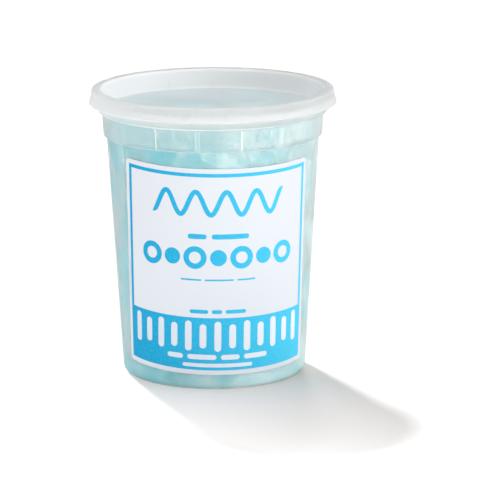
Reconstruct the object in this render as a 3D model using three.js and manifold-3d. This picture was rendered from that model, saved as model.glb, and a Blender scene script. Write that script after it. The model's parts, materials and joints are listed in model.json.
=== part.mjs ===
// A round deli tub of milky polypropylene with its press-on lid, filled with
// cotton candy and carrying one square paper label. Millimetres, +Z up, the
// label faces -Y and the origin is the middle of the foot it stands on.

import * as THREE from 'three';
import { mergeVertices } from 'three/addons/utils/BufferGeometryUtils.js';
import Module from 'manifold-3d';

const wasm = await Module();
wasm.setup();

// Shared sizes
const flats = 64;              // flat sides round every turned plastic piece
const gap = 0.3;               // clearance between pieces that touch
const wall = 0.7;              // thickness of the tub's wall

// Tub: outer radii and heights
const baseRadius = 44.29;      // where the tapered wall would meet the ground
const taper = 0.0601;          // radius gained per millimetre of height
const footFillet = 4;
const footWidth = 2.3;
const footDepth = 1.2;         // how far the floor stands above the ground
const bandBottom = 117.2;      // the stacking band steps out of the wall here
const bandRadius = 52.85;
const bandTopRadius = 53.5;
const bandTop = 128.1;
const collarRadius = 55.2;
const flangeBottom = 135.3;    // the rim that the lid grips
const flangeRadius = 57.3;
const rimTop = 138.3;
const edgeBreak = 0.4;         // chamfer on the tub's sharp outer corners

// Ribs that keep stacked tubs apart, inside the band
const ribCount = 16;
const wideRib = 2.3;           // every second rib is a broad one
const narrowRib = 0.8;
const ribDepth = 1.2;
const ribTurn = -7.8;          // degrees from the front to the first rib

// Lid
const lidTop = 139.45;
const lidWall = 0.8;
const panelTop = 129.8;
const panelFillet = 1.2;
const plugRadius = 52.4;       // inner side of the plug wall, just above the panel
const plugTopRadius = 53.4;
const crownRadius = 58.5;
const crownRound = 1.6;
const skirtRadius = 59.8;
const skirtBottom = 132.4;
const skirtEdge = 0.5;         // height of the skirt's blunt lower edge
const skirtFlare = 1.15;       // how late the skirt swings out below the crown
const beadRadius = 57.0;       // inward bead that grips under the tub's rim
const beadDrop = 0.6;          // its height under the rim's lower face
const lugCount = 6;            // short upright lugs on the plug wall
const lugTurn = 24.4;          // degrees from the back to the first lug
const lugWidth = 0.9;
const lugHeight = 5.2;         // their top, above the panel
const lugDepth = 0.6;

// Cotton candy
const candySides = 36;
const candyFloor = 2.3;
const candyTop = 128.4;        // highest lumps, just under the lid's panel
const candyHollow = 3.2;       // how far the top sinks between its lumps
const candyLump = 1.8;         // how far the side stands off the wall between lumps
const candyShoulder = 5;       // height over which the side rounds in to the top
const candyFoot = 4;           // height over which the lumps fade in above the floor
const candyMiddle = 12;        // radius within which the top's swells fade out
const candyRings = 11;

// Label, laid flat before it is wrapped
const labelSize = 101.6;
const labelCorner = 2.5;
const labelThickness = 0.25;
const labelMiddle = 58.5;      // height of its centre
const labelTurn = 2.56;        // degrees round from the front
const labelLean = -0.63;       // degrees it was stuck on askew
const labelColumns = 20;

const degrees = Math.PI / 180;

function material(color, roughness, opacity = 1) {
  const transparent = opacity < 1;
  return new THREE.MeshStandardMaterial({ color, roughness, metalness: 0, opacity, transparent });
}

function namedMesh(name, geometry, finish) {
  const mesh = new THREE.Mesh(geometry, finish);
  mesh.name = name;
  return mesh;
}

// Points on a round corner; angles in degrees from outwards, anticlockwise.
function corner(centreRadius, centreHeight, radius, from, to, steps) {
  const points = [];
  for (let step = 0; step <= steps; step += 1) {
    const angle = (from + ((to - from) * step) / steps) * degrees;
    points.push([centreRadius + radius * Math.cos(angle), centreHeight + radius * Math.sin(angle)]);
  }
  return points;
}

// Turns a profile of [radius, height] pairs about the upright axis.
function turned(profile, segments) {
  const points = profile.map(([radius, height]) => new THREE.Vector2(radius, height));
  return new THREE.LatheGeometry(points, segments).rotateX(Math.PI / 2);
}

// Closed, position-only geometry as a manifold solid.
function solid(geometry) {
  const bare = geometry.clone();
  bare.deleteAttribute('normal');
  bare.deleteAttribute('uv');
  const merged = mergeVertices(bare, 1e-4);
  const index = Array.from(merged.index.array);
  const triangles = [];
  for (let i = 0; i < index.length; i += 3) {
    const [a, b, c] = index.slice(i, i + 3);
    if (a !== b && b !== c && c !== a) triangles.push(a, b, c);
  }
  const mesh = new wasm.Mesh({
    numProp: 3,
    vertProperties: Float32Array.from(merged.attributes.position.array),
    triVerts: Uint32Array.from(triangles),
  });
  return new wasm.Manifold(mesh);
}

function geometryOf(manifold) {
  const mesh = manifold.getMesh();
  const geometry = new THREE.BufferGeometry();
  geometry.setAttribute('position', new THREE.BufferAttribute(mesh.vertProperties, 3));
  geometry.setIndex(new THREE.BufferAttribute(mesh.triVerts, 1));
  geometry.computeVertexNormals();
  return geometry;
}

function wallRadius(height) {
  return baseRadius + taper * height;
}

// ---------------------------------------------------------------- tub

function tubProfile() {
  const filletMiddle = wallRadius(footFillet) - footFillet;
  const footInside = filletMiddle - footWidth;
  const floorTop = footDepth + wall;
  const ledge = bandTop + wall;
  const collarInside = collarRadius - wall;
  return [
    // underside and outside, going up
    [0, footDepth],
    [footInside - footDepth, footDepth],
    [footInside, 0],
    ...corner(filletMiddle, footFillet, footFillet, -90, 0, 4),
    [wallRadius(bandBottom), bandBottom],
    [bandRadius - edgeBreak, bandBottom],
    [bandRadius, bandBottom + edgeBreak],
    [bandTopRadius, bandTop],
    [collarRadius, bandTop + edgeBreak],
    [collarRadius, flangeBottom],
    [flangeRadius, flangeBottom],
    [flangeRadius, rimTop - edgeBreak],
    [flangeRadius - edgeBreak, rimTop],
    // inside, going down
    [collarInside, rimTop],
    [collarInside, ledge],
    [bandTopRadius - wall, ledge],
    [bandRadius - wall, bandBottom + wall],
    [wallRadius(bandBottom) - wall, bandBottom + wall],
    ...corner(filletMiddle, footFillet, footFillet - wall, 0, -90, 3),
    [footInside, wall],
    [footInside - footDepth, floorTop],
    [0, floorTop],
  ];
}

// An upright bar whose outer side runs up a sloping wall, from one radius and height to another.
function barGeometry(bottomRadius, bottom, topRadius, top, depth, width) {
  const outline = new THREE.Shape();
  outline.moveTo(bottomRadius, bottom);
  outline.lineTo(topRadius, top);
  outline.lineTo(topRadius - depth, top);
  outline.lineTo(bottomRadius - depth, bottom);
  outline.closePath();
  const bar = new THREE.ExtrudeGeometry(outline, { depth: width, bevelEnabled: false });
  return bar.translate(0, 0, -width / 2).rotateX(Math.PI / 2);
}

// One rib, its outer side sunk into the middle of the band's wall.
function ribGeometry(width) {
  const half = wall / 2;
  const depth = half + ribDepth;
  return barGeometry(bandRadius - half, bandBottom + half, bandTopRadius - half, bandTop + half, depth, width);
}

function makeTub() {
  let body = solid(turned(tubProfile(), flats));
  for (let i = 0; i < ribCount; i += 1) {
    const turn = (ribTurn - 90) * degrees + (i * 2 * Math.PI) / ribCount;
    const width = i % 2 === 0 ? wideRib : narrowRib;
    body = body.add(solid(ribGeometry(width).rotateZ(turn)));
  }
  return namedMesh('tub', geometryOf(body), material('#dfe9ea', 0.4, 0.5));
}

// ---------------------------------------------------------------- lid

// The skirt's outer side, from its lower edge up to the crown's round edge.
function skirtOutside(steps) {
  const topHeight = lidTop - crownRound;
  const edgeHeight = skirtBottom + skirtEdge;
  const points = [];
  for (let step = 0; step < steps; step += 1) {
    const down = 1 - step / steps;
    const radius = crownRadius + (skirtRadius - crownRadius) * down ** skirtFlare;
    points.push([radius, topHeight + (edgeHeight - topHeight) * down]);
  }
  return points;
}

function lidProfile() {
  const plugOutside = collarRadius - wall - gap;
  const channelTop = lidTop - lidWall;
  const channelRadius = crownRadius - lidWall;
  return [
    // underside of the panel, the plug's outer side and the channel
    [0, panelTop - lidWall],
    ...corner(plugRadius - panelFillet, panelTop + panelFillet, panelFillet + lidWall, -90, 0, 3),
    [plugOutside, channelTop],
    [channelRadius, channelTop],
    [channelRadius, flangeBottom + beadDrop],
    [beadRadius, flangeBottom - beadDrop],
    [beadRadius + gap, flangeBottom - 2 * beadDrop],
    [skirtRadius - lidWall, skirtBottom],
    // outside of the skirt, flaring from under the crown
    [skirtRadius, skirtBottom],
    ...skirtOutside(4),
    ...corner(crownRadius - crownRound, lidTop - crownRound, crownRound, 0, 90, 3),
    // the crown's inner side, the plug wall and the panel's top
    ...corner(plugTopRadius + crownRound, lidTop - crownRound, crownRound, 90, 180, 3),
    [plugRadius, panelTop + panelFillet],
    ...corner(plugRadius - panelFillet, panelTop + panelFillet, panelFillet, -30, -90, 2),
    [0, panelTop],
  ];
}

function plugWallRadius(above) {
  return plugRadius + ((plugTopRadius - plugRadius) * above) / (lidTop - panelTop);
}

// One lug, its outer side sunk into the middle of the plug wall.
function lugGeometry() {
  const half = lidWall / 2;
  const bottomRadius = plugWallRadius(panelFillet) + half;
  const topRadius = plugWallRadius(lugHeight) + half;
  const bottom = panelTop + panelFillet;
  return barGeometry(bottomRadius, bottom, topRadius, panelTop + lugHeight, half + lugDepth, lugWidth);
}

function makeLid() {
  let body = solid(turned(lidProfile(), flats));
  for (let i = 0; i < lugCount; i += 1) {
    const turn = (lugTurn + 90) * degrees + (i * 2 * Math.PI) / lugCount;
    body = body.add(solid(lugGeometry().rotateZ(turn)));
  }
  return namedMesh('lid', geometryOf(body), material('#e3e9ea', 0.4, 0.6));
}

// ---------------------------------------------------------------- cotton candy

// Slow swells that never repeat round the tub, from 0 (lump) to 1 (hollow).
function hollowness(turn, height) {
  const swell = Math.sin(3 * turn + height * 0.07)
    + Math.sin(5 * turn - height * 0.11 + 1.3)
    + Math.sin(2 * turn + height * 0.19 + 4.1);
  return 0.5 - swell / 6;
}

function candyProfile() {
  const inset = wall + gap;
  const filletMiddle = wallRadius(footFillet) - footFillet;
  const bottomRadius = filletMiddle - footWidth - footDepth;
  const profile = [[0, candyFloor], [bottomRadius, candyFloor]];
  const lowest = candyFloor + candyFoot;
  const highest = candyTop - candyShoulder;
  for (let ring = 0; ring <= candyRings; ring += 1) {
    const height = lowest + ((highest - lowest) * ring) / candyRings;
    profile.push([wallRadius(Math.min(height, bandBottom)) - inset, height]);
  }
  const neck = wallRadius(bandBottom) - inset;
  const rounding = 0.3 * candyShoulder;
  profile.push([neck - rounding, candyTop - rounding], [neck - candyShoulder, candyTop]);
  for (const share of [0.72, 0.5, 0.28]) profile.push([neck * share, candyTop]);
  profile.push([0, candyTop]);
  return profile;
}

function makeCandy() {
  const geometry = turned(candyProfile(), candySides);
  const position = geometry.attributes.position;
  const point = new THREE.Vector3();
  for (let i = 0; i < position.count; i += 1) {
    point.fromBufferAttribute(position, i);
    const radius = Math.hypot(point.x, point.y);
    const turn = Math.atan2(point.y, point.x);
    const nearTop = THREE.MathUtils.smoothstep(point.z, candyTop - candyShoulder, candyTop);
    const offBottom = THREE.MathUtils.smoothstep(point.z, candyFloor, candyFloor + candyFoot);
    const middle = THREE.MathUtils.smoothstep(radius, 0, candyMiddle);
    const side = candyLump * offBottom * hollowness(turn, point.z);
    const squeeze = radius > 1 ? (radius - side) / radius : 1;
    const sink = candyHollow * nearTop * (0.5 + middle * (hollowness(turn, radius * 2) - 0.5));
    position.setXYZ(i, point.x * squeeze, point.y * squeeze, point.z - sink);
  }
  return namedMesh('cotton_candy', geometry, material('#a5d6db', 0.95));
}

// ---------------------------------------------------------------- label

// A point of the flat label, rolled onto the tub's cone at a distance above it.
function wrapped(across, up, above) {
  const lean = labelLean * degrees;
  const u = across * Math.cos(lean) - up * Math.sin(lean);
  const v = across * Math.sin(lean) + up * Math.cos(lean);
  const slope = Math.atan(taper);
  const apex = -baseRadius / taper;
  const reach = (labelMiddle - apex) / Math.cos(slope) + v;
  const slant = Math.hypot(u, reach);
  const turn = Math.atan2(u, reach) / Math.sin(slope) + labelTurn * degrees;
  const radius = slant * Math.sin(slope) + above * Math.cos(slope);
  const height = apex + slant * Math.cos(slope) - above * Math.sin(slope);
  return [radius * Math.sin(turn), -radius * Math.cos(turn), height];
}

// Heights of the label's rows: close together in its round corners.
function labelRows() {
  const half = labelSize / 2;
  const bends = [90, 45, 15].map((angle) => half - labelCorner + labelCorner * Math.sin(angle * degrees));
  return [...bends, 0, ...bends.map((row) => -row).reverse()];
}

function labelHalfWidth(up) {
  const into = Math.max(0, Math.abs(up) - (labelSize / 2 - labelCorner));
  return labelSize / 2 - labelCorner + Math.sqrt(Math.max(0, labelCorner ** 2 - into ** 2));
}

function makeLabel() {
  const rows = labelRows();
  const bands = rows.length - 1;
  const geometry = new THREE.BoxGeometry(2, bands, 1, labelColumns, bands, 1);
  const position = geometry.attributes.position;
  for (let i = 0; i < position.count; i += 1) {
    const up = rows[Math.round(bands / 2 - position.getY(i))];
    const across = position.getX(i) * labelHalfWidth(up);
    const above = gap + labelThickness * (position.getZ(i) + 0.5);
    position.setXYZ(i, ...wrapped(across, up, above));
  }
  geometry.computeVertexNormals();
  return namedMesh('label', geometry, material('#f2f4f6', 0.7));
}

const group = new THREE.Group();
group.add(makeTub(), makeLid(), makeCandy(), makeLabel());

export default group;
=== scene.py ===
import bpy
import bmesh
import json
import math
import random
from mathutils import Matrix, Quaternion, Vector, noise
from mathutils.bvhtree import BVHTree

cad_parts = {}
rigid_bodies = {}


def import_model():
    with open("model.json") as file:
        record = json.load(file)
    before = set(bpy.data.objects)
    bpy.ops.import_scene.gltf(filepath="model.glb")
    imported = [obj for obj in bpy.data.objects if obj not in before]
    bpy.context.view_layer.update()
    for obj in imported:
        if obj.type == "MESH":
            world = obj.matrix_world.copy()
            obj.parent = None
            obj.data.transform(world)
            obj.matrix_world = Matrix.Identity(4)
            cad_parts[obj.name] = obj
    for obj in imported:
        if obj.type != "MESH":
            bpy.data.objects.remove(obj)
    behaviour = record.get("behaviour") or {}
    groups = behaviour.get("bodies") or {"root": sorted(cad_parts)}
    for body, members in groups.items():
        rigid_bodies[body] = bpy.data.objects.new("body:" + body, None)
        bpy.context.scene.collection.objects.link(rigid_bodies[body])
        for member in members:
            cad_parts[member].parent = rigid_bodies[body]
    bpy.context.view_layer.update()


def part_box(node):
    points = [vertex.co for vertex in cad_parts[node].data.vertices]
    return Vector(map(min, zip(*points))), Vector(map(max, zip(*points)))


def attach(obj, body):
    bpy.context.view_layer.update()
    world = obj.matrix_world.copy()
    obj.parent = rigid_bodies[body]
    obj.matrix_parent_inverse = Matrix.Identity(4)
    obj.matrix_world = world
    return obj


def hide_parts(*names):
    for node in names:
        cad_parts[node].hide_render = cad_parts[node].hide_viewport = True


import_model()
mm = 0.001
random.seed(88)
noise.seed_set(3)  # without it the noise vectors differ from run to run
print("frame loaded")


def linear(hexColour):  # an sRGB hex colour in the linear values that shaders use
    values = [int(hexColour[i:i + 2], 16) / 255 for i in (1, 3, 5)]
    return [v / 12.92 if v <= 0.04045 else ((v + 0.055) / 1.055) ** 2.4 for v in values] + [1.0]


def addNode(tree, kind, settings=None, links=None):  # one node with its settings and what feeds it
    node = tree.nodes.new(kind)
    for name, value in (settings or {}).items():
        if hasattr(node, str(name)):
            setattr(node, name, value)
        else:
            node.inputs[name].default_value = value
    for name, source in (links or {}).items():
        tree.links.new(source, node.inputs[name])
    return node


def addNoise(tree, size, place, detail, **more):  # a noise with features about this many mm wide
    settings = {"Scale": 1 / (size * mm), "Detail": detail, **more}
    return addNode(tree, "ShaderNodeTexNoise", settings, {"Vector": place}).outputs["Fac"]


def mapRange(tree, value, fromRange, toRange, **more):
    settings = dict(zip(("From Min", "From Max", "To Min", "To Max"), (*fromRange, *toRange)), **more)
    return addNode(tree, "ShaderNodeMapRange", settings, {"Value": value}).outputs[0]


noiseSpan = (0.3, 0.7)  # where nearly all values of a noise texture lie


def addMath(tree, operation, first, second):
    return addNode(tree, "ShaderNodeMath", {"operation": operation}, {0: first, 1: second}).outputs[0]


mixSockets = {"first": 6, "second": 7, "result": 2}  # of a Mix node that mixes colours


def mixColours(tree, share, first, second):
    mix = addNode(tree, "ShaderNodeMix", {"data_type": "RGBA"}, {"Factor": share})
    mix.inputs[mixSockets["first"]].default_value = linear(first)
    mix.inputs[mixSockets["second"]].default_value = linear(second)
    return mix.outputs[mixSockets["result"]]


def stretched(tree, place, scale):
    mapping = addNode(tree, "ShaderNodeMapping", {}, {"Vector": place})
    mapping.inputs["Scale"].default_value = scale
    return mapping.outputs[0]


def newMaterial(name):
    material = bpy.data.materials.new(name)
    material.use_nodes = True
    material.node_tree.nodes.clear()
    return material, material.node_tree


def passShadow(material, tree, surface, shade):  # thin, so light comes through to what lies behind
    letThrough = addNode(tree, "ShaderNodeBsdfTransparent", {"Color": linear(shade)})
    ray = addNode(tree, "ShaderNodeLightPath").outputs["Is Shadow Ray"]
    mix = addNode(tree, "ShaderNodeMixShader", {}, {0: ray, 1: surface.outputs[0], 2: letThrough.outputs[0]})
    addNode(tree, "ShaderNodeOutputMaterial", {}, {"Surface": mix.outputs[0]})
    return material


def smoothStep(value, low, high):
    share = min(1.0, max(0.0, (value - low) / (high - low)))
    return share * share * (3 - 2 * share)


rounding = {"steps": 4, "guard": 0.3, "mostOfStretch": 0.45, "straightAngle": 1.55, "leastCut": 0.02}


# Corners are [radius, height, rounding] in mm. Each rounding becomes an arc, with a guard point
# just before and after it, so that smooth shading stays flat on the straight stretches.
def roundedProfile(corners):
    steps = rounding["steps"]
    guard = rounding["guard"]
    places = [Vector(corner[:2]) for corner in corners]
    chain = [places[0]]
    for i in range(1, len(corners) - 1):
        here = places[i]
        back = places[i - 1] - here
        ahead = places[i + 1] - here
        half = back.angle(ahead) / 2
        room = rounding["mostOfStretch"] * min(back.length, ahead.length)
        cut = min(corners[i][2] / math.tan(half), room) if half < rounding["straightAngle"] else 0
        if cut < rounding["leastCut"]:
            chain.append(here)
            continue
        back.normalize()
        ahead.normalize()
        centre = here + (back + ahead).normalized() * cut / math.cos(half)
        first = here + back * cut - centre
        sweep = first.angle_signed(here + ahead * cut - centre)
        if room > cut + guard:
            chain.append(here + back * (cut + guard))
        chain += [centre + Matrix.Rotation(-sweep * step / steps, 2) @ first for step in range(steps + 1)]
        if room > cut + guard:
            chain.append(here + ahead * (cut + guard))
    return chain + [places[-1]]


def evenly(chain, spacing):  # the same chain with points no further apart than the spacing
    points = [chain[0]]
    for start, end in zip(chain, chain[1:]):
        parts = max(1, math.ceil((end - start).length / spacing))
        points += [start.lerp(end, part / parts) for part in range(1, parts + 1)]
    return points


def spinProfile(chain, steps, firstTurn=0.0):  # turns a profile in mm about the upright axis
    bm = bmesh.new()
    turn = Matrix.Rotation(firstTurn, 3, "Z")
    verts = [bm.verts.new(turn @ Vector((p.x, 0, p.y)) * mm) for p in chain]
    edges = [bm.edges.new(pair) for pair in zip(verts, verts[1:])]
    bmesh.ops.spin(bm, geom=verts + edges, cent=(0, 0, 0), axis=(0, 0, 1), dvec=(0, 0, 0),
                   angle=math.tau, steps=steps, use_merge=True, use_normal_flip=False,
                   use_duplicate=False)
    bmesh.ops.remove_doubles(bm, verts=bm.verts, dist=0.002 * mm)
    bmesh.ops.recalc_face_normals(bm, faces=bm.faces)
    return bm


def raiseInward(bm, footprints, depth):  # pushes patches of a wall towards the axis, as solid ribs
    raised = bmesh.ops.extrude_face_region(bm, geom=footprints)["geom"]
    for vert in [item for item in raised if isinstance(item, bmesh.types.BMVert)]:
        vert.co -= Vector((vert.co.x, vert.co.y, 0)).normalized() * depth * mm
    bmesh.ops.delete(bm, geom=[face for face in footprints if face.is_valid], context="FACES_ONLY")
    bm.normal_update()


def makePiece(bm, name, material, creaseAngle=38):
    for edge in bm.edges:
        edge.smooth = len(edge.link_faces) == 2 and edge.calc_face_angle(0) < math.radians(creaseAngle)
    for face in bm.faces:
        face.smooth = True
    mesh = bpy.data.meshes.new(name)
    bm.to_mesh(mesh)
    bm.free()
    mesh.materials.append(material)
    piece = bpy.data.objects.new(name, mesh)
    bpy.context.scene.collection.objects.link(piece)
    return piece


def fit(piece, node):  # the piece stands for a CAD node, which it hides, and joins the root body
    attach(piece, "root")
    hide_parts(node)


view = {
    "place": (0.0, -1.4788, 0.3995),
    "aim": (0.01286, 0.0, 0.06365),
    "lens": 233.16,
    "sensor": 36,
    "roll": -0.263,
    "clip": (0.05, 50),
}


def makeCamera():
    camera = bpy.data.objects.new("camera", bpy.data.cameras.new("camera"))
    camera.data.lens = view["lens"]
    camera.data.sensor_width = view["sensor"]
    camera.data.clip_start, camera.data.clip_end = view["clip"]
    camera.location = view["place"]
    camera.rotation_mode = "QUATERNION"
    sight = Vector(view["aim"]) - Vector(view["place"])
    level = sight.to_track_quat("-Z", "Y")
    camera.rotation_quaternion = level @ Quaternion((0, 0, 1), math.radians(view["roll"]))
    bpy.context.scene.collection.objects.link(camera)
    bpy.context.scene.camera = camera


makeCamera()
print("camera placed")


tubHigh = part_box("tub")[1] / mm
tub = {
    "rimRadius": tubHigh.x, "rimTop": tubHigh.z,
    "baseRadius": 44.29, "taper": 0.0601, "wall": 0.7,
    "footFillet": 4.0, "footWidth": 2.3, "footDepth": 1.2,
    "bandBottom": 117.2, "bandRadius": 52.85, "bandTop": 128.1, "bandTopRadius": 53.5,
    "collarRadius": 55.2, "flangeBottom": 135.3,
    "ribs": 16, "ribTurn": -7.8, "ribDepth": 1.2, "ribInset": 2.0,
    "stepsPerRib": 27, "wideRib": 3, "narrowRib": 1,
    # the edge colour is painted shade, mixed in where the wall is seen edge-on
    "colour": "#f8fbfb", "edgeShadeColour": "#c6cfd0", "glowColour": "#f2f7f7", "shade": "#f7fafa",
    "milk": 0.13, "fullMilk": 0.85, "glow": 0.18, "roughness": 0.32,
    "streakWidth": 1.4, "streakMilk": 0.12, "edgeShadePower": 3.0,
    "ribEdgeMilkAndHighlight": 0.6, "ribMiddle": 0.1, "rimShare": 0.2, "ledgeSlope": 0.3,
}


def wallRadius(height):  # outer radius of the tapered wall, in mm
    return tub["baseRadius"] + tub["taper"] * height


def footInside():
    return wallRadius(tub["footFillet"]) - tub["footFillet"] - tub["footWidth"]


def tubCorners():
    t = tub["wall"]
    foot = footInside()
    depth = tub["footDepth"]
    ledge = tub["bandTop"] + t
    return [
        [0, depth, 0],
        [foot - depth, depth, 0.5],
        [foot, 0, 0.4],
        [wallRadius(0), 0, tub["footFillet"]],
        [wallRadius(tub["bandBottom"]), tub["bandBottom"], 0.35],
        [tub["bandRadius"], tub["bandBottom"], 0.5],
        [tub["bandTopRadius"], tub["bandTop"], 0.3],
        [tub["collarRadius"], tub["bandTop"] + 0.4, 0.5],
        [tub["collarRadius"], tub["flangeBottom"], 0.3],
        [tub["rimRadius"], tub["flangeBottom"], 0.3],
        [tub["rimRadius"], tub["rimTop"], 0.8],
        [tub["collarRadius"] - t, tub["rimTop"], 0.4],
        [tub["collarRadius"] - t, ledge, 0.4],
        [tub["bandTopRadius"] - t, ledge, 0.2],
        [tub["bandTopRadius"] - t, ledge - 0.4, 0],
        [tub["bandRadius"] - t, tub["bandBottom"] + t + 0.3, 0],
        [tub["bandRadius"] - t, tub["bandBottom"] + t, 0.1],
        [wallRadius(tub["bandBottom"]) - t, tub["bandBottom"] + t, 0.35],
        [wallRadius(0) - t, t, tub["footFillet"] - t],
        [foot, t, 0.4],
        [foot - depth, depth + t, 0.5],
        [0, depth + t, 0],
    ]


def stepsFromRib(spot):  # how far round the band a spot is from the nearest rib, and that rib's width
    step = math.tau / tub["ribs"]
    turn = math.atan2(spot.y, spot.x) + math.pi / 2 - math.radians(tub["ribTurn"])
    nearest = round(turn / step)
    width = tub["narrowRib"] if nearest % 2 else tub["wideRib"]
    return abs(turn / step - nearest) * tub["stepsPerRib"], width


def atRib(spot):
    steps, width = stepsFromRib(spot)
    inset = tub["ribInset"]
    return steps < width / 2 and tub["bandBottom"] + inset < spot.z < tub["bandTop"] - inset


def isInner(spot):  # on the band's inner side, not its outer one
    return math.hypot(spot.x, spot.y) < tub["bandTopRadius"] - tub["wall"] / 2


def middleOf(face):  # in mm
    return face.calc_center_median() / mm


# Plastic is made milkier, and so whiter, at the foot, at the ledges and along both sides of each
# rib: partly because more plastic lies behind the surface there, partly as painted highlights for
# the bright lines of rib edges and ledges, and as painted light that lifts the foot out of its
# contact shade. The share is 0 for a plain wall and 1 for the milkiest places.
def tubMilkAndPaintedLight(face, spot):
    if atRib(spot):
        steps, width = stepsFromRib(spot)
        if width == tub["narrowRib"]:
            return 1.0
        return tub["ribEdgeMilkAndHighlight"] if steps > width / 2 - 1 else tub["ribMiddle"]
    if abs(face.normal.z) > tub["ledgeSlope"] and spot.z > tub["bandBottom"] - 1:
        return 1.0 if spot.z < tub["flangeBottom"] - 1 else tub["rimShare"]
    return 1.0 if spot.z < tub["footDepth"] else 0.0


def markMilkAndPaintedLight(bm, thickness):
    milkAndPaintedLight = bm.loops.layers.float.new("milkAndPaintedLight")
    for face in bm.faces:
        share = thickness(face, middleOf(face))
        for loop in face.loops:
            loop[milkAndPaintedLight] = share


def makeTub(material):
    steps = tub["ribs"] * tub["stepsPerRib"]
    firstTurn = math.radians(tub["ribTurn"] - 90) + math.pi / steps
    bm = spinProfile(roundedProfile(tubCorners()), steps, firstTurn)
    footprints = [face for face in bm.faces if atRib(middleOf(face)) and isInner(middleOf(face))]
    raiseInward(bm, footprints, tub["ribDepth"])
    markMilkAndPaintedLight(bm, tubMilkAndPaintedLight)
    return makePiece(bm, "tubShell", material)


polypropylene = {
    "ior": 1.49, "hazeSize": 14, "hazeReach": 0.06, "roughReach": 0.03,
    "drawnOut": 0.03, "bandFade": 1.5, "bumpStrength": 0.5, "bumpDepth": 0.3,
}


# Natural polypropylene, injection moulded: clear at heart but clouded white, so that what lies
# against it shows as through frosted glass. Upright draw marks from the mould run down the band.
# The edges, where the eye looks along the wall, are painted a little darker: partly for the longer
# path through the plastic, partly as painted shade.
def milkyPolypropylene(name, look, bandLow, bandHigh):
    material, tree = newMaterial(name)
    place = addNode(tree, "ShaderNodeTexCoord").outputs["Object"]
    milkAndPaintedLight = addNode(tree, "ShaderNodeAttribute", {"attribute_name": "milkAndPaintedLight"}).outputs["Fac"]
    haze = addNoise(tree, polypropylene["hazeSize"], place, 3.0)
    upright = stretched(tree, place, (1, 1, polypropylene["drawnOut"]))
    streak = addNoise(tree, look["streakWidth"], upright, 2.0)
    height = addNode(tree, "ShaderNodeSeparateXYZ", {}, {0: place}).outputs["Z"]
    fade = polypropylene["bandFade"]
    aboveLow = mapRange(tree, height, (bandLow * mm, (bandLow + fade) * mm), (0.0, 1.0))
    inBand = addNode(tree, "ShaderNodeMapRange",
                     {"From Min": (bandHigh - fade) * mm, "From Max": bandHigh * mm, "To Max": 0.0},
                     {"Value": height, "To Min": aboveLow}).outputs[0]
    streakInBand = addMath(tree, "MULTIPLY", streak, inBand)
    # the milk share, raised where the mesh marks thicker plastic, painted highlights and painted light
    clear = mapRange(tree, milkAndPaintedLight, (0.0, 1.0), (1 - look["milk"], 1 - look["fullMilk"]))
    reach = polypropylene["hazeReach"]
    hazed = mapRange(tree, haze, noiseSpan, (1 - reach, 1 + reach))
    streaked = mapRange(tree, streakInBand, noiseSpan, (1.0, 1 - look["streakMilk"]))
    patchy = addMath(tree, "MULTIPLY", hazed, streaked)
    share = addMath(tree, "MULTIPLY", clear, patchy)
    reach = polypropylene["roughReach"]
    rough = mapRange(tree, haze, noiseSpan, (look["roughness"] - reach, look["roughness"] + reach))
    bump = addNode(tree, "ShaderNodeBump", {"Strength": polypropylene["bumpStrength"],
                                            "Distance": polypropylene["bumpDepth"] * mm},
                   {"Height": streakInBand})
    # painted shade: the colour darkens where the wall is seen edge-on
    facing = addNode(tree, "ShaderNodeLayerWeight", {"Blend": 0.5}).outputs["Facing"]
    grazing = addNode(tree, "ShaderNodeMath", {"operation": "POWER", 1: look["edgeShadePower"]}, {0: facing})
    colour = mixColours(tree, grazing.outputs[0], look["colour"], look["edgeShadeColour"])
    plastic = addNode(tree, "ShaderNodeBsdfPrincipled", {"IOR": polypropylene["ior"]},
                      {"Base Color": colour, "Transmission Weight": share, "Roughness": rough,
                       "Normal": bump.outputs[0]})
    glow = addNode(tree, "ShaderNodeBsdfTranslucent", {"Color": linear(look["glowColour"])})
    body = addNode(tree, "ShaderNodeMixShader", {0: look["glow"]},
                   {1: plastic.outputs[0], 2: glow.outputs[0]})
    return passShadow(material, tree, body, look["shade"])


tubPlastic = milkyPolypropylene("milkyPolypropyleneTub", tub, tub["bandBottom"] + 0.5, tub["bandTop"])
fit(makeTub(tubPlastic), "tub")
print("tub made")


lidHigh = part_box("lid")[1] / mm
lid = {
    "skirtRadius": lidHigh.x, "top": lidHigh.z, "skirtBottom": 132.4, "skirtEdge": 0.5,
    "wall": 0.8, "panelTop": 129.8, "panelFillet": 1.2, "plugRadius": 52.4, "plugTopRadius": 53.4,
    "crownRadius": 58.5, "crownRound": 1.6, "flare": 1.3,
    "beadRadius": 57.0, "beadDrop": 0.6, "gap": 0.3,
    "lugs": 6, "lugTurn": 24.4, "lugHeight": 5.2, "lugDepth": 0.6, "stepsPerLug": 60,
    # the edge colour is painted shade, mixed in where the lid is seen edge-on
    "colour": "#fafbfc", "edgeShadeColour": "#d4d8db", "glowColour": "#f8f8f8", "shade": "#f6f7f7",
    "milk": 0.12, "fullMilk": 0.85, "glow": 0.34, "roughness": 0.36,
    # the milk shares are partly painted light and shade: a clear neck looks darker, a milky inner wall and
    # skirt lighter
    "panelShare": 0.42, "wallShare": 1.0, "neckShare": 0.0, "skirtShare": 0.28,
    "streakWidth": 1.4, "streakMilk": 0.0, "edgeShadePower": 10.0,
}


def skirtOutside(steps=6):  # flares out from under the crown down to the blunt lower edge
    topHeight = lid["top"] - lid["crownRound"]
    drop = topHeight - lid["skirtBottom"] - lid["skirtEdge"]
    reach = lid["skirtRadius"] - lid["crownRadius"]
    shares = [1 - step / steps for step in range(steps)]
    return [[lid["crownRadius"] + reach * down ** lid["flare"], topHeight - drop * down, 0]
            for down in shares]


def plugWallRadius(above):  # of the wall's visible side, at a height above the panel
    share = above / (lid["top"] - lid["panelTop"])
    return lid["plugRadius"] + (lid["plugTopRadius"] - lid["plugRadius"]) * share


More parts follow.
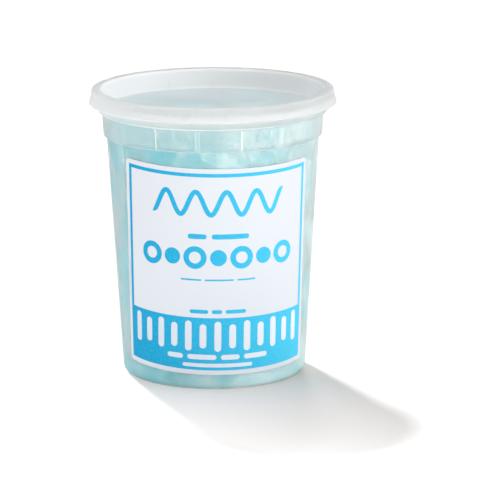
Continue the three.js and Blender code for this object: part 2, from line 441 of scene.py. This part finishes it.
def lidCorners():
    t = lid["wall"]
    bottom = lid["skirtBottom"]
    channelTop = lid["top"] - t
    channelRadius = lid["crownRadius"] - t
    grip = tub["flangeBottom"]
    return [
        [0, lid["panelTop"] - t, 0],
        [lid["plugRadius"] + t, lid["panelTop"] - t, lid["panelFillet"] + t],
        [tub["collarRadius"] - tub["wall"] - lid["gap"], channelTop, 0.4],
        [channelRadius, channelTop, 0.5],
        [channelRadius, grip + lid["beadDrop"], 0.3],
        [lid["beadRadius"], grip - lid["beadDrop"], 0.5],
        [lid["beadRadius"] + lid["gap"], grip - 2 * lid["beadDrop"], 0.4],
        [lid["skirtRadius"] - t, bottom, 0.3],
        [lid["skirtRadius"], bottom, 0.3],
        *skirtOutside(),
        [lid["crownRadius"], lid["top"], lid["crownRound"]],
        [lid["plugTopRadius"], lid["top"], lid["crownRound"]],
        [plugWallRadius(lid["lugHeight"]), lid["panelTop"] + lid["lugHeight"], 0],
        [lid["plugRadius"], lid["panelTop"], lid["panelFillet"]],
        [0, lid["panelTop"], 0],
    ]


def atLug(spot):  # short upright lugs on the plug wall, which hold stacked lids apart
    step = math.tau / lid["lugs"]
    turn = (math.atan2(spot.y, spot.x) - math.pi / 2 - math.radians(lid["lugTurn"])) / step
    above = spot.z - lid["panelTop"]
    near = abs(turn - round(turn)) * lid["stepsPerLug"] < 0.5
    return near and lid["panelFillet"] < above < lid["lugHeight"] and isPlugWall(spot)


def isPlugWall(spot):  # the visible side of the wall, not the side against the tub
    radius = math.hypot(spot.x, spot.y)
    return radius < plugWallRadius(spot.z - lid["panelTop"]) + lid["wall"] / 2


# painted light and shade besides milk: the inner wall and lugs are milkier to look lighter, the neck and
# crown clear to look darker
def lidMilkAndPaintedLight(face, spot):  # most at the plug wall, less on the panel and skirt, least at the crown
    if atLug(spot):
        return 1.0
    if math.hypot(spot.x, spot.y) < lid["plugTopRadius"] + 1:
        above = smoothStep(spot.z, lid["panelTop"] - 0.5, lid["panelTop"] + lid["panelFillet"])
        return lid["panelShare"] + (lid["wallShare"] - lid["panelShare"]) * above
    return lid["neckShare"] if spot.z > tub["flangeBottom"] else lid["skirtShare"]


def makeLid(material):
    steps = lid["lugs"] * lid["stepsPerLug"]
    firstTurn = math.radians(lid["lugTurn"] + 90) + math.pi / steps
    bm = spinProfile(roundedProfile(lidCorners()), steps, firstTurn)
    footprints = [face for face in bm.faces if atLug(middleOf(face))]
    raiseInward(bm, footprints, lid["lugDepth"])
    markMilkAndPaintedLight(bm, lidMilkAndPaintedLight)
    return makePiece(bm, "lidShell", material)


lidPlastic = milkyPolypropylene("milkyPolypropyleneLid", lid, lid["skirtBottom"], lid["top"])
fit(makeLid(lidPlastic), "lid")
print("lid made")


candy = {
    "around": 330, "spacing": 0.9, "press": 0.14,
    "bandRise": 2.5, "bandRadius": 52.25, "bandTopRadius": 52.8,
    "wadSize": 30.0, "warp": 9.0, "warpSize": 24.0, "creaseWidth": 0.22, "creaseDepth": 0.4,
    "swellSize": 20.0, "swellDepth": 0.4, "foldSize": 8.0, "foldDepth": 0.45, "fadeIn": 20.0,
    "fibreGap": 1.9, "fibreLength": 15.0, "fibreDepth": 0.3, "looseFrom": 0.1, "looseTo": 1.6,
    "dipFront": 22.0, "dipRight": 8.0, "dipWave": 9.0, "waveSize": 14.0, "dipEdge": 2.0, "dipDepth": 3.0,
    "deep": "#4ed2df", "pale": "#e2f8f8",
    "deepShare": 0.45, "creaseShade": 0.2, "cloudTint": 0.35, "cloudSize": 11.0, "wadTint": 0.3,
    "paintedLightSide": 0.33, "paintedLightReach": 40.0, "paintedLightTop": 0.2,
    "wispSize": 8.0, "wispTint": 0.17, "wispSpan": (0.42, 0.58),
    "grains": [(2.4, 0.15), (0.7, 0.24)],  # width in mm and share of the tint, coarse and fine
    "grainLength": 8.0, "grainStrength": 0.6, "grainDepth": 0.25,
}
cellDraws = {"tone": 7.3, "angle": 3.1, "angleStart": Vector((5, 5, 5))}  # unlike draws for each wad


def candyCorners():  # the tub's inside, reaching just into the wall, up to the underside of the lid
    p = candy["press"]
    t = tub["wall"]
    floorTop = tub["footDepth"] + t - p
    top = lid["panelTop"] - lid["wall"] + p
    foot = footInside()
    return [
        [0, floorTop, 0],
        [foot - tub["footDepth"], floorTop, 0.5],
        [foot, t - p, 0.4],
        [wallRadius(0) - t + p, t - p, tub["footFillet"] - t + p],
        [wallRadius(tub["bandBottom"]) - t + p, tub["bandBottom"], 3],
        [candy["bandRadius"], tub["bandBottom"] + candy["bandRise"], 3],
        [candy["bandTopRadius"], top, 3.5],
        [0, top, 0],
    ]


# Wads of floss torn off and stuffed in: each has its own direction and colour, and a crease
# where it meets the next. Gives the crease and the colour as shares, the ways out of the tub and
# along the fibres, and the spot as the noise has shifted it.
def wadAt(spot):
    warped = spot + noise.noise_vector(spot / candy["warpSize"]) * candy["warp"]
    distances, centres = noise.voronoi(warped / candy["wadSize"])
    crease = 1 - smoothStep(distances[1] - distances[0], 0, candy["creaseWidth"])
    centre = centres[0]
    tone = 0.5 + 0.5 * noise.cell(centre * cellDraws["tone"])
    angle = math.pi * noise.cell(centre * cellDraws["angle"] + cellDraws["angleStart"])
    outward = Vector((centre.x, centre.y, 0.001)).normalized()
    around = Vector((-outward.y, outward.x, 0))
    along = around * math.cos(angle) + Vector((0, 0, 1)) * math.sin(angle)
    return crease, tone, outward, along.normalized(), warped


def fibrePlace(warped, outward, along):  # a spot measured across, through and along its fibres
    across = outward.cross(along)
    return Vector((warped.dot(across), warped.dot(outward), warped.dot(along)))


def reliefAt(spot, warped, crease, fibre):  # how far the floss stands back from the wall, in mm
    swell = noise.fractal(spot / candy["swellSize"], 1.0, 2.0, 2)
    fold = abs(noise.fractal(warped / candy["foldSize"], 1.0, 2.0, 3))
    fine = noise.noise(Vector((fibre.x / candy["fibreGap"], fibre.y / candy["fibreGap"],
                               fibre.z / candy["fibreLength"])))
    away = crease * candy["creaseDepth"] + max(0, swell) * candy["swellDepth"]
    away *= smoothStep(spot.z, 0, candy["fadeIn"])
    loose = smoothStep(away, candy["looseFrom"], candy["looseTo"])
    return away + loose * (fold * candy["foldDepth"] + (0.5 + fine) * candy["fibreDepth"])


def dipAt(spot):  # behind on the left the floss sinks away from the lid
    wave = candy["dipWave"] * noise.noise(spot / candy["waveSize"])
    front = candy["dipFront"]
    right = candy["dipRight"]
    behind = smoothStep(spot.y + wave, front, front + candy["dipEdge"])
    leftOf = 1 - smoothStep(spot.x + wave, right, right + 3 * candy["dipEdge"])
    return candy["dipDepth"] * behind * leftOf


def deepAt(spot, normal, crease, tone):  # how deep the aqua is, from 0 to 1
    cloud = noise.fractal(spot / candy["cloudSize"] + Vector((3, 1, 4)), 1.0, 2.0, 3)
    # painted light: paler towards the right, where more light falls, and on faces that look up
    pale = candy["paintedLightSide"] * max(-1, min(1, spot.x / candy["paintedLightReach"]))
    pale += candy["paintedLightTop"] * max(0, normal.z)
    # painted shade: a deeper, darker aqua in the creases
    tint = candy["creaseShade"] * crease + candy["cloudTint"] * cloud + candy["wadTint"] * (tone - 0.5)
    return min(1.0, max(0.0, candy["deepShare"] + tint - pale))


def makeCandy(material):
    bm = spinProfile(evenly(roundedProfile(candyCorners()), candy["spacing"]), candy["around"])
    bm.normal_update()
    deepLayer = bm.verts.layers.float.new("deep")
    fibreLayer = bm.verts.layers.float_vector.new("fibre")
    moves = []
    for vert in bm.verts:
        spot = vert.co / mm
        crease, tone, outward, along, warped = wadAt(spot)
        fibre = fibrePlace(warped, outward, along)
        relief = reliefAt(spot, warped, crease, fibre)
        if vert.normal.z > 0.3:  # the top of the fill, under the lid
            relief += dipAt(spot)
        vert[deepLayer] = deepAt(spot, vert.normal, crease, tone)
        vert[fibreLayer] = fibre * mm
        moves.append(vert.normal * -relief * mm)
    for vert, move in zip(bm.verts, moves):
        vert.co += move
    tree = orderedTree(bm)
    return makePiece(bm, "cottonCandy", material, creaseAngle=180), tree


# A search tree over the faces. bmesh keeps its faces in another order on each run, so they are
# put in the order of their places first, and the strands then lie the same every time.
def orderedTree(bm):
    shapes = []
    for face in bm.faces:
        corners = [tuple(round(value, 8) for value in vert.co) for vert in face.verts]
        first = corners.index(min(corners))
        shapes.append(corners[first:] + corners[:first])
    shapes.sort()
    points = []
    polygons = []
    for shape in shapes:
        polygons.append(range(len(points), len(points) + len(shape)))
        points += shape
    return BVHTree.FromPolygons(points, polygons)


strands = {
    "count": 2400, "radius": 0.13, "tip": 0.35, "stride": 2.2, "strides": (5, 11), "lift": (0.02, 0.14),
    "heights": (3, 128), "outside": 60, "topShare": 0.25, "topReach": 50, "above": 140,
    "pull": 0.5, "wander": 0.35,
    "pale": "#e9f8f8", "deep": "#a9dee4", "patchSize": 6.0,
}


def randomVector(reach):
    return Vector([random.uniform(-reach, reach) for i in range(3)])


def strandPath(tree):  # wanders over the floss, mostly along the fibres of the wad that it lies on
    turn = random.uniform(0, math.tau)
    height = random.uniform(*strands["heights"])
    start = Vector((strands["outside"] * math.cos(turn), strands["outside"] * math.sin(turn), height))
    if random.random() < strands["topShare"]:
        reach = strands["topReach"] * math.sqrt(random.random())
        start = Vector((reach * math.cos(turn), reach * math.sin(turn), strands["above"]))
    spot, normal = tree.find_nearest(start * mm)[:2]
    heading = randomVector(1)
    lift = random.uniform(*strands["lift"]) * mm
    path = []
    for step in range(random.randint(*strands["strides"])):
        path.append(spot + normal * lift)
        along = wadAt(spot / mm)[3]
        heading += along * math.copysign(strands["pull"], heading.dot(along))
        heading += randomVector(strands["wander"])
        heading -= normal * heading.dot(normal)
        heading.normalize()
        spot, normal = tree.find_nearest(spot + heading * strands["stride"] * mm)[:2]
    return path


def makeStrands(tree, material):  # loose threads, drawn as thick as they need to show
    curve = bpy.data.curves.new("looseStrands", "CURVE")
    curve.dimensions = "3D"
    curve.bevel_depth = strands["radius"] * mm
    curve.bevel_resolution = 0
    curve.use_fill_caps = True
    for i in range(strands["count"]):
        path = strandPath(tree)
        spline = curve.splines.new("POLY")
        spline.points.add(len(path) - 1)
        for j, (point, place) in enumerate(zip(spline.points, path)):
            point.co = (*place, 1)
            swell = math.sin(math.pi * j / (len(path) - 1))
            point.radius = strands["tip"] + (1 - strands["tip"]) * swell
    loose = bpy.data.objects.new("looseStrands", curve)
    mesh = bpy.data.meshes.new_from_object(loose)
    bpy.data.objects.remove(loose)
    bm = bmesh.new()
    bm.from_mesh(mesh)
    return makePiece(bm, "looseStrands", material, creaseAngle=180)


# Sugar syrup spun to threads and packed: matt and pale where the threads lie open, a deeper
# aqua where they are pressed together, with a fine fibrous grain. The deeper, darker aqua in the
# creases is painted shade, and the paler right side and upward faces are painted light.
def spunSugar():
    material, tree = newMaterial("spunSugar")
    share = addNode(tree, "ShaderNodeAttribute", {"attribute_name": "deep"}).outputs["Fac"]
    fibre = addNode(tree, "ShaderNodeAttribute", {"attribute_name": "fibre"}).outputs["Vector"]
    place = addNode(tree, "ShaderNodeTexCoord").outputs["Object"]
    wisp = addNoise(tree, candy["wispSize"], place, 5.0, Roughness=0.6, Distortion=1.0)
    tint = candy["wispTint"]
    billow = mapRange(tree, wisp, candy["wispSpan"], (-tint, tint), interpolation_type="SMOOTHSTEP")
    share = addMath(tree, "ADD", share, billow)
    for width, tint in candy["grains"]:
        scale = (1 / (width * mm), 1 / (width * mm), 1 / (candy["grainLength"] * mm))
        grain = addNode(tree, "ShaderNodeTexNoise", {"Scale": 1.0, "Detail": 4.0, "Roughness": 0.6},
                        {"Vector": stretched(tree, fibre, scale)}).outputs["Fac"]
        share = addMath(tree, "ADD", share, mapRange(tree, grain, noiseSpan, (-tint, tint)))
    colour = mixColours(tree, share, candy["pale"], candy["deep"])
    bump = addNode(tree, "ShaderNodeBump",
                   {"Strength": candy["grainStrength"], "Distance": candy["grainDepth"] * mm},
                   {"Height": grain})
    sugar = addNode(tree, "ShaderNodeBsdfPrincipled", {"Roughness": 0.85, "IOR": 1.45, "Sheen Weight": 0.15},
                    {"Base Color": colour, "Normal": bump.outputs[0]})
    addNode(tree, "ShaderNodeOutputMaterial", {}, {"Surface": sugar.outputs[0]})
    return material


# A single thread of the same sugar: almost white, because so little dye lies in one thread.
def sugarThread():
    material, tree = newMaterial("sugarThread")
    place = addNode(tree, "ShaderNodeTexCoord").outputs["Object"]
    patchy = addNoise(tree, strands["patchSize"], place, 2.0)
    colour = mixColours(tree, patchy, strands["pale"], strands["deep"])
    sugar = addNode(tree, "ShaderNodeBsdfPrincipled", {"Roughness": 0.6, "IOR": 1.45}, {"Base Color": colour})
    addNode(tree, "ShaderNodeOutputMaterial", {}, {"Surface": sugar.outputs[0]})
    return material


cottonCandy, candyTree = makeCandy(spunSugar())
fit(cottonCandy, "cotton_candy")
print("cotton candy made,", len(cottonCandy.data.polygons), "faces")
looseStrands = makeStrands(candyTree, sugarThread())
fit(looseStrands, "cotton_candy")
print("strands made,", len(looseStrands.data.polygons), "faces")


label = {
    "size": 101.6, "corner": 2.5, "paper": 0.1, "lift": 0.03, "ink": 0.02,
    "middle": 58.5, "turn": 2.56, "lean": -0.63,
    "frameInset": 2.25, "frameWidth": 1.75, "fieldTop": -22.4, "cut": 1.5,
    "wave": (66, 2.3, 4.5, 5.6), "waveHeight": 34,  # length, stroke, number of waves and swing
    "dots": 7, "dotGap": 11.2, "dotHeight": 7.4, "dotRadius": 4.0, "ring": (5.6, 2.9),
    "bars": 13, "barGap": 7.1, "barHeight": -31.6, "barLengths": (15, 12), "barWidth": 3.3,
    "blueRows": [  # of dashes: their lengths, the gap, the thickness and the height of the row
        ([9, 18], 2.4, 2.5, 17.8),
        ([10, 14, 9], 1.6, 0.8, -3.6),
        ([9, 5, 10], 1.6, 1.9, -19.3),
    ],
    "whiteRows": [
        ([8, 14, 9, 12], 2.2, 2.5, -42.0),
        ([34], 0, 1.9, -46.1),
    ],
    "paperColour": "#d9dfe7", "paperShade": "#d8d8d8", "inkShade": "#ffffff",
    # each ink runs from its first colour at the left to a lighter second colour at the right: a painted sheen
    "blueInk": ("#009bcd", "#50cdf2"), "whiteInk": ("#d4dce8", "#e6ecf2"), "paintedSheenReach": 45,
    "toothSize": 0.8, "toothStrength": 0.1, "toothDepth": 0.05, "mottleSize": 1.2, "mottleReach": 0.1,
}


def wrap(spot, above):  # a spot of the flat label, in mm, laid on the tub's cone
    lean = math.radians(label["lean"])
    u = spot.x * math.cos(lean) - spot.y * math.sin(lean)
    v = spot.x * math.sin(lean) + spot.y * math.cos(lean)
    slope = math.atan(tub["taper"])
    apex = -tub["baseRadius"] / tub["taper"]
    reach = (label["middle"] - apex) / math.cos(slope) + v
    slant = math.hypot(u, reach)
    turn = math.atan2(u, reach) / math.sin(slope) + math.radians(label["turn"])
    radius = slant * math.sin(slope) + above * math.cos(slope)
    height = apex + slant * math.cos(slope) - above * math.sin(slope)
    return Vector((radius * math.sin(turn), -radius * math.cos(turn), height)) * mm


def cutForBending(bm):  # upright cuts, so that a flat shape can bend round the tub
    low = min(vert.co.x for vert in bm.verts)
    high = max(vert.co.x for vert in bm.verts)
    cuts = int((high - low) / label["cut"])
    for i in range(1, cuts + 1):
        across = low + (high - low) * i / (cuts + 1)
        bmesh.ops.bisect_plane(bm, geom=bm.verts[:] + bm.edges[:] + bm.faces[:],
                               plane_co=(across, 0, 0), plane_no=(1, 0, 0), dist=1e-5)


def rectangle(low, high):
    bm = bmesh.new()
    bmesh.ops.create_grid(bm, x_segments=1, y_segments=1, size=0.5)
    bmesh.ops.scale(bm, vec=(high[0] - low[0], high[1] - low[1], 1), verts=bm.verts)
    middle = ((low[0] + high[0]) / 2, (low[1] + high[1]) / 2, 0)
    bmesh.ops.translate(bm, vec=middle, verts=bm.verts)
    return bm


def disc(radius, hole=0.0):
    bm = bmesh.new()
    bmesh.ops.create_circle(bm, cap_ends=True, radius=radius, segments=40)
    if hole:
        middle = bm.faces[:]
        bmesh.ops.inset_individual(bm, faces=middle, thickness=radius - hole)
        bmesh.ops.delete(bm, geom=middle, context="FACES")
    return bm


def bar(length, thickness):  # a dash with round ends
    bm = bmesh.new()
    bmesh.ops.create_circle(bm, cap_ends=True, radius=thickness / 2, segments=24)
    for vert in bm.verts:
        vert.co.x += math.copysign((length - thickness) / 2, vert.co.x) if abs(vert.co.x) > 1e-4 else 0
    return bm


def ribbon(length, stroke, waves, swing):  # a wavy stroke that tapers at both ends
    bm = bmesh.new()
    bmesh.ops.create_grid(bm, x_segments=round(waves * 28), y_segments=1, size=0.5)
    for vert in bm.verts:
        phase = vert.co.x * waves * math.tau
        slope = swing * waves * math.tau / length * math.cos(phase)
        side = Vector((-slope, 1)).normalized() * vert.co.y * stroke
        taper = min(1, (0.5 - abs(vert.co.x)) * length / stroke + 0.25)
        vert.co = (vert.co.x * length + side.x * taper, swing * math.sin(phase) + side.y * taper, 0)
    return bm


def addShape(layer, shape, at=(0, 0), angle=0.0):  # puts one flat shape into a layer of print
    shape.transform(Matrix.Translation((*at, 0)) @ Matrix.Rotation(angle, 4, "Z"))
    cutForBending(shape)
    mesh = bpy.data.meshes.new("shape")
    shape.to_mesh(mesh)
    shape.free()
    layer.from_mesh(mesh)
    bpy.data.meshes.remove(mesh)


def addRow(layer, lengths, gap, thickness, height):  # a row of dashes, centred on the label
    across = -(sum(lengths) + gap * (len(lengths) - 1)) / 2
    for length in lengths:
        addShape(layer, bar(length, thickness), (across + length / 2, height))
        across += length + gap


def wrapLayer(layer, name, above, thickness, material):  # bends a flat layer round the tub as a thin film
    bmesh.ops.remove_doubles(layer, verts=layer.verts, dist=1e-4)
    bmesh.ops.recalc_face_normals(layer, faces=layer.faces)
    for face in layer.faces:
        if face.normal.z < 0:
            face.normal_flip()
    raised = bmesh.ops.extrude_face_region(layer, geom=layer.faces[:], use_keep_orig=True)["geom"]
    upper = {item for item in raised if isinstance(item, bmesh.types.BMVert)}
    for vert in layer.verts:
        vert.co = wrap(vert.co, above + (thickness if vert in upper else 0))
    bmesh.ops.recalc_face_normals(layer, faces=layer.faces)
    return makePiece(layer, name, material, creaseAngle=50)


def makeLabelPaper(material):
    layer = bmesh.new()
    half = label["size"] / 2
    addShape(layer, rectangle((-half, -half), (half, half)))
    bmesh.ops.dissolve_limit(layer, angle_limit=0.01, verts=layer.verts, edges=layer.edges)
    bmesh.ops.bevel(layer, geom=layer.verts[:], offset=label["corner"], affect="VERTICES",
                    segments=5, profile=0.5, material=-1)
    cutForBending(layer)
    return wrapLayer(layer, "labelPaper", label["lift"], label["paper"], material)


def makeBluePrint(material):
    layer = bmesh.new()
    out = label["size"] / 2 - label["frameInset"]
    into = out - label["frameWidth"]
    top = label["fieldTop"]
    addShape(layer, rectangle((-out, -out), (out, top)))
    addShape(layer, rectangle((-out, top), (-into, into)))
    addShape(layer, rectangle((into, top), (out, into)))
    addShape(layer, rectangle((-out, into), (out, out)))
    addShape(layer, ribbon(*label["wave"]), (0, label["waveHeight"]))
    for i in range(label["dots"]):
        across = (i - (label["dots"] - 1) / 2) * label["dotGap"]
        dot = disc(label["dotRadius"]) if i % 2 else disc(*label["ring"])
        addShape(layer, dot, (across, label["dotHeight"]))
    for row in label["blueRows"]:
        addRow(layer, *row)
    return wrapLayer(layer, "labelBluePrint", label["lift"] + label["paper"], label["ink"], material)


def makeWhitePrint(material):
    layer = bmesh.new()
    for i in range(label["bars"]):
        across = (i - (label["bars"] - 1) / 2) * label["barGap"]
        upright = bar(label["barLengths"][i % 2], label["barWidth"])
        addShape(layer, upright, (across, label["barHeight"]), math.pi / 2)
    for row in label["whiteRows"]:
        addRow(layer, *row)
    above = label["lift"] + label["paper"] + label["ink"]
    return wrapLayer(layer, "labelWhitePrint", above, label["ink"], material)


# Coated label paper: smooth, bluish white, with a tooth just too fine to see as grain.
def coatedPaper():
    material, tree = newMaterial("coatedPaper")
    place = addNode(tree, "ShaderNodeTexCoord").outputs["Object"]
    tooth = addNoise(tree, label["toothSize"], place, 3.0)
    bump = addNode(tree, "ShaderNodeBump",
                   {"Strength": label["toothStrength"], "Distance": label["toothDepth"] * mm},
                   {"Height": tooth})
    paper = addNode(tree, "ShaderNodeBsdfPrincipled",
                    {"Base Color": linear(label["paperColour"]), "Roughness": 0.55},
                    {"Normal": bump.outputs[0]})
    return passShadow(material, tree, paper, label["paperShade"])


# Inkjet ink: a thin film that is slightly uneven where it has soaked in. Towards one side it is
# painted lighter, a painted sheen where light from the right falls across it.
def printedInk(name, shadedSideInk, litSideInk):
    material, tree = newMaterial(name)
    place = addNode(tree, "ShaderNodeTexCoord").outputs["Object"]
    mottle = addNoise(tree, label["mottleSize"], place, 3.0)
    across = addNode(tree, "ShaderNodeSeparateXYZ", {}, {0: place}).outputs["X"]
    # painted sheen: lighter towards the right
    side = mapRange(tree, across, (-label["paintedSheenReach"] * mm, label["paintedSheenReach"] * mm), (0.0, 1.0))
    uneven = mapRange(tree, mottle, noiseSpan, (-label["mottleReach"], label["mottleReach"]))
    colour = mixColours(tree, addMath(tree, "ADD", side, uneven), shadedSideInk, litSideInk)
    rough = mapRange(tree, mottle, (0.0, 1.0), (0.45, 0.6))
    ink = addNode(tree, "ShaderNodeBsdfPrincipled", {"Specular IOR Level": 0.08},
                  {"Base Color": colour, "Roughness": rough})
    return passShadow(material, tree, ink, label["inkShade"])


fit(makeLabelPaper(coatedPaper()), "label")
fit(makeBluePrint(printedInk("blueInk", *label["blueInk"])), "label")
fit(makeWhitePrint(printedInk("whiteInk", *label["whiteInk"])), "label")
print("label made")


studio = {
    "tableTop": "#ece7e4", "tableReach": 6, "tableGlow": 0.02,
    "glowHeading": (-0.9, -1, 0), "glowNear": -0.02, "glowFar": 0.12, "glowGain": 0.46,
    "skyLeft": 0.2, "skyRight": 0.88, "clamp": 3,
    "tubSuns": [  # name, heading, strength, spread in degrees; they light the tub only
        ("topSoft", (0.25, 0.2, -1), 1.2, 70),
        ("fillFront", (-0.45, 1, -0.2), 0.35, 60),
        ("fillRight", (-0.9, 0.4, -0.25), 0.86, 50),
    ],
    "tableSuns": [  # these light the table only, and cast the tub's shadow on it
        ("shadowLong", (0.33, -0.87, -1), 2.7, 5),
        ("shadowShort", (-0.02, -0.87, -1), 0.5, 9),
        ("fillLeft", (0.8, 0.2, -2.2), 0.1, 30),
    ],
}


# A shooting table of opal acrylic whose glow, a little all over and more towards its front edge, is painted
# light that fades the tub's cast shadow out towards the front.
def makeFloor():
    bm = bmesh.new()
    bmesh.ops.create_grid(bm, x_segments=1, y_segments=1, size=studio["tableReach"])
    material, tree = newMaterial("paintedGlowTable")
    place = addNode(tree, "ShaderNodeTexCoord").outputs["Object"]
    ahead = addNode(tree, "ShaderNodeVectorMath", {"operation": "DOT_PRODUCT", 1: studio["glowHeading"]},
                    {0: place}).outputs["Value"]
    least = studio["tableGlow"]
    glow = mapRange(tree, ahead, (studio["glowNear"], studio["glowFar"]), (least, least + studio["glowGain"]))
    top = addNode(tree, "ShaderNodeBsdfDiffuse", {"Color": linear(studio["tableTop"])})
    below = addNode(tree, "ShaderNodeEmission", {}, {"Strength": glow})
    both = addNode(tree, "ShaderNodeAddShader", {}, {0: top.outputs[0], 1: below.outputs[0]})
    addNode(tree, "ShaderNodeOutputMaterial", {}, {"Surface": both.outputs[0]})
    floor = makePiece(bm, "floor", material)
    return floor


def makeSun(name, heading, strength, spread):
    lamp = bpy.data.lights.new(name, "SUN")
    lamp.energy = strength
    lamp.angle = math.radians(spread)
    light = bpy.data.objects.new(name, lamp)
    light.rotation_mode = "QUATERNION"
    light.rotation_quaternion = Vector(heading).to_track_quat("-Z", "Y")
    bpy.context.scene.collection.objects.link(light)
    return light


def makeSky():
    world = bpy.data.worlds.new("studioSky")
    world.use_nodes = True
    tree = world.node_tree
    heading = addNode(tree, "ShaderNodeTexCoord").outputs["Generated"]
    across = addNode(tree, "ShaderNodeSeparateXYZ", {}, {0: heading}).outputs["X"]
    strength = mapRange(tree, across, (-1.0, 1.0), (studio["skyLeft"], studio["skyRight"]))
    background = tree.nodes["Background"]
    background.inputs["Color"].default_value = (1, 1, 1, 1)
    tree.links.new(strength, background.inputs["Strength"])
    bpy.context.scene.world = world


lit = {name: bpy.data.collections.new(name) for name in ("tubSuns", "tableSuns")}
for piece in bpy.context.scene.objects:
    if piece.type == "MESH":
        lit["tubSuns"].objects.link(piece)
lit["tableSuns"].objects.link(makeFloor())
for name, group in lit.items():
    for sun in studio[name]:
        makeSun(*sun).light_linking.receiver_collection = group
makeSky()
bpy.context.scene.view_settings.view_transform = "Standard"
bpy.context.scene.cycles.sample_clamp_indirect = studio["clamp"]  # no sparks from inside the walls
print("studio made")
